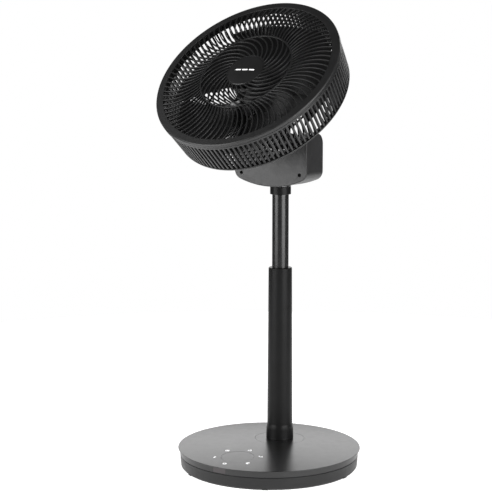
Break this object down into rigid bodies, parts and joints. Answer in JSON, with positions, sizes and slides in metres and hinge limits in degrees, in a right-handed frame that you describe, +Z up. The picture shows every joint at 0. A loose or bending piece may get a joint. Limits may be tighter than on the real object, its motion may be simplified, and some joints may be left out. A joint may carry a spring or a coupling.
{
  "type": "pedestal fan",
  "caption": "Black pedestal air-circulator fan: round weighted base, telescopic mast, motorised pan housing and a tilting caged head with swirl ribs",
  "frame": {"origin": "centre of the round base on the floor plane", "axes": "+Z up along the mast, the fan blows towards -Y at zero pan, +X to the right as seen from the front"},
  "size_m": [0.35, 0.3708, 0.8523],
  "materials": {
    "foot_rubber": "soft black rubber, matt",
    "side_plastic": "moulded black plastic, fine texture",
    "top_satin": "satin black moulded plastic, smooth",
    "circuit_board": "green lacquered board",
    "smoked_window": "smoked clear plastic",
    "weight_iron": "painted plate",
    "zinc_steel": "zinc plated",
    "die_casting": "die cast, as cast",
    "mast_satin": "satin black",
    "tube_satin": "satin black powder coat on steel",
    "acetal": "natural white acetal",
    "brake_rubber": "nitrile rubber",
    "shell_plastic": "moulded black plastic, fine texture",
    "black_screws": "black oxide steel",
    "motor_steel": "pressed steel",
    "ground_steel": "ground steel",
    "stator_iron": "laminations with enamelled windings",
    "grille_plastic": "moulded black plastic, fine texture",
    "cap_plastic": "satin black moulded plastic",
    "blade_plastic": "smooth black moulded plastic"
  },
  "bodies": {
    "base": {"foot_ring": "foot_rubber", "base_tray": "side_plastic", "base_cover": "top_satin", "control_disc": "top_satin", "control_board": "circuit_board", "remote_window": "smoked_window", "base_weight": "weight_iron", "power_board": "circuit_board", "cord_gland": "foot_rubber", "base_screws": "zinc_steel", "pole_socket": "die_casting", "socket_bolts": "zinc_steel", "outer_sleeve": "mast_satin", "sleeve_boot": "mast_satin", "pole_escutcheon": "top_satin", "guide_bush": "mast_satin"},
    "mast": {"inner_tube": "tube_satin", "tube_slider": "acetal", "brake_ring": "brake_rubber", "mast_collar": "mast_satin", "pan_spigot": "die_casting", "pan_fixed_gear": "acetal", "retaining_ring": "zinc_steel"},
    "yoke": {"yoke_rear_shell": "shell_plastic", "yoke_front_cover": "shell_plastic", "yoke_screws": "black_screws", "pan_bush": "acetal", "pan_motor": "motor_steel", "tilt_motor": "motor_steel", "tilt_bushes": "acetal"},
    "pan_drive": {"pan_pinion": "acetal"},
    "tilt_drive": {"tilt_pinion": "acetal"},
    "head": {"tilt_hub": "shell_plastic", "tilt_pin": "ground_steel", "tilt_gear": "acetal", "motor_back_cover": "shell_plastic", "motor_plate": "die_casting", "motor_bolts": "zinc_steel", "motor_bearings": "ground_steel", "motor_stator": "stator_iron", "rear_grille": "grille_plastic", "cage_screws": "black_screws", "front_grille": "grille_plastic", "grille_cap": "cap_plastic", "grille_clips": "grille_plastic"},
    "rotor": {"rotor_cup": "motor_steel", "rotor_shaft": "ground_steel", "impeller": "blade_plastic"}
  },
  "joints": [
    {"name": "mast_height", "type": "slide", "parent": "base", "child": "mast", "axis": [0, 0, 1], "range_m": [-0.115, 0.095]},
    {"name": "pan", "type": "hinge", "parent": "mast", "child": "yoke", "pos_m": [0, 0.0381, 0.52], "axis": [0, 0, 1], "range_deg": [-60, 60]},
    {"name": "pan_pinion_spin", "type": "hinge", "parent": "yoke", "child": "pan_drive", "pos_m": [-0.0224, 0.0381, 0.534], "axis": [0, 0, 1], "range_deg": [-160, 160]},
    {"name": "tilt", "type": "hinge", "parent": "yoke", "child": "head", "pos_m": [0, 0.0304, 0.604], "axis": [1, 0, 0], "range_deg": [-45, 45]},
    {"name": "tilt_pinion_spin", "type": "hinge", "parent": "yoke", "child": "tilt_drive", "pos_m": [0.067, 0.0304, 0.576], "axis": [1, 0, 0], "range_deg": [-120, 120]},
    {"name": "rotor_spin", "type": "hinge", "parent": "head", "child": "rotor", "pos_m": [0, 0.0386, 0.6122], "axis": [0, -0.7071, 0.7071], "continuous": true}
  ],
  "couplings": [
    {"joint": "pan_pinion_spin", "follows": "pan", "ratio": 2.5},
    {"joint": "tilt_pinion_spin", "follows": "tilt", "ratio": -2.5}
  ]
}
